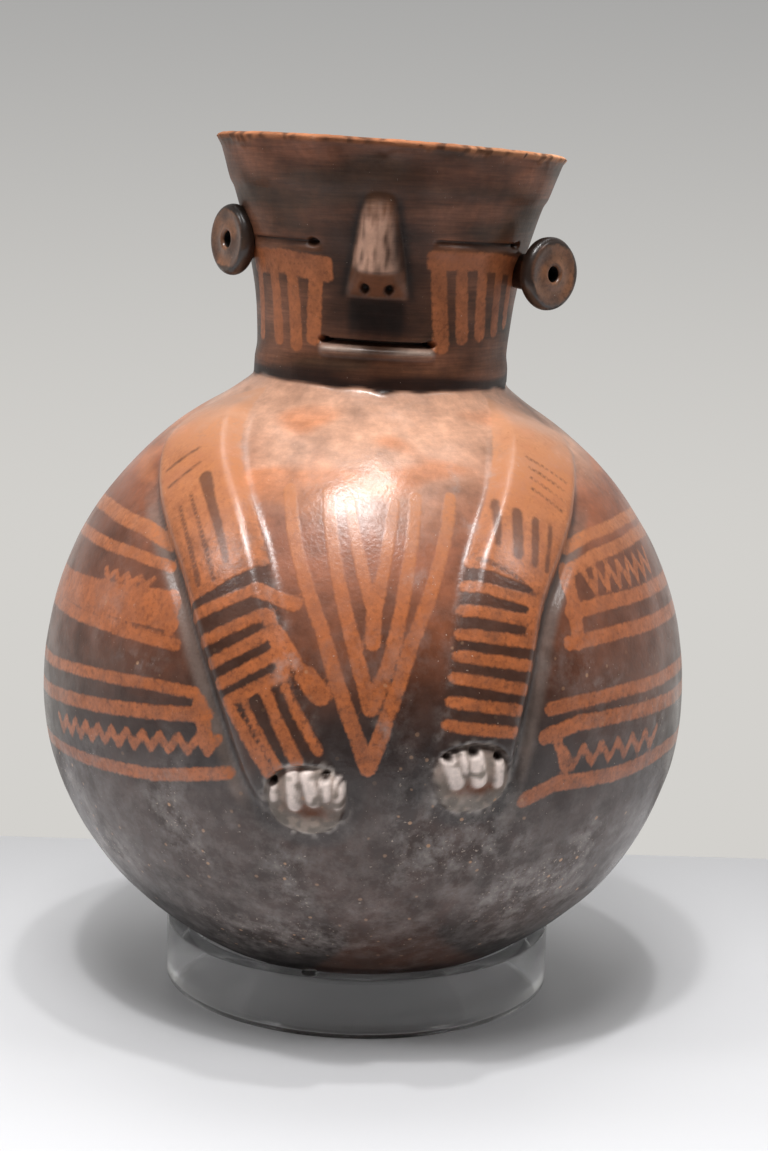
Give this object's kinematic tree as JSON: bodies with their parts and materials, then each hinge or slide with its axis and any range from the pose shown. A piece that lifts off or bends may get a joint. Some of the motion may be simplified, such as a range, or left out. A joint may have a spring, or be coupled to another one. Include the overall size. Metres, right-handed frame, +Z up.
{
  "type": "effigy bottle",
  "caption": "Round hollow ceramic bottle with a flared neck that carries a modelled face, ear discs and arms in low relief, held upright on a clear ring stand.",
  "frame": {"origin": "under the middle of the object's outline, on the level the ring stands on; the ring's axis is 1.8 mm behind it", "axes": "+Z up along the bottle, the face looks along -Y, +X to the right of someone who looks at the face"},
  "size_m": [0.2077, 0.212, 0.275],
  "materials": {
    "painted_clay": "burnished fired clay, dark brown to black slip with orange painted strokes, worn",
    "clear_acrylic": "clear, polished",
    "clear_silicone": "clear, smooth"
  },
  "bodies": {
    "root": {"bottle": "painted_clay", "ring_stand": "clear_acrylic", "pad_1": "clear_silicone", "pad_2": "clear_silicone", "pad_3": "clear_silicone"}
  },
  "joints": []
}
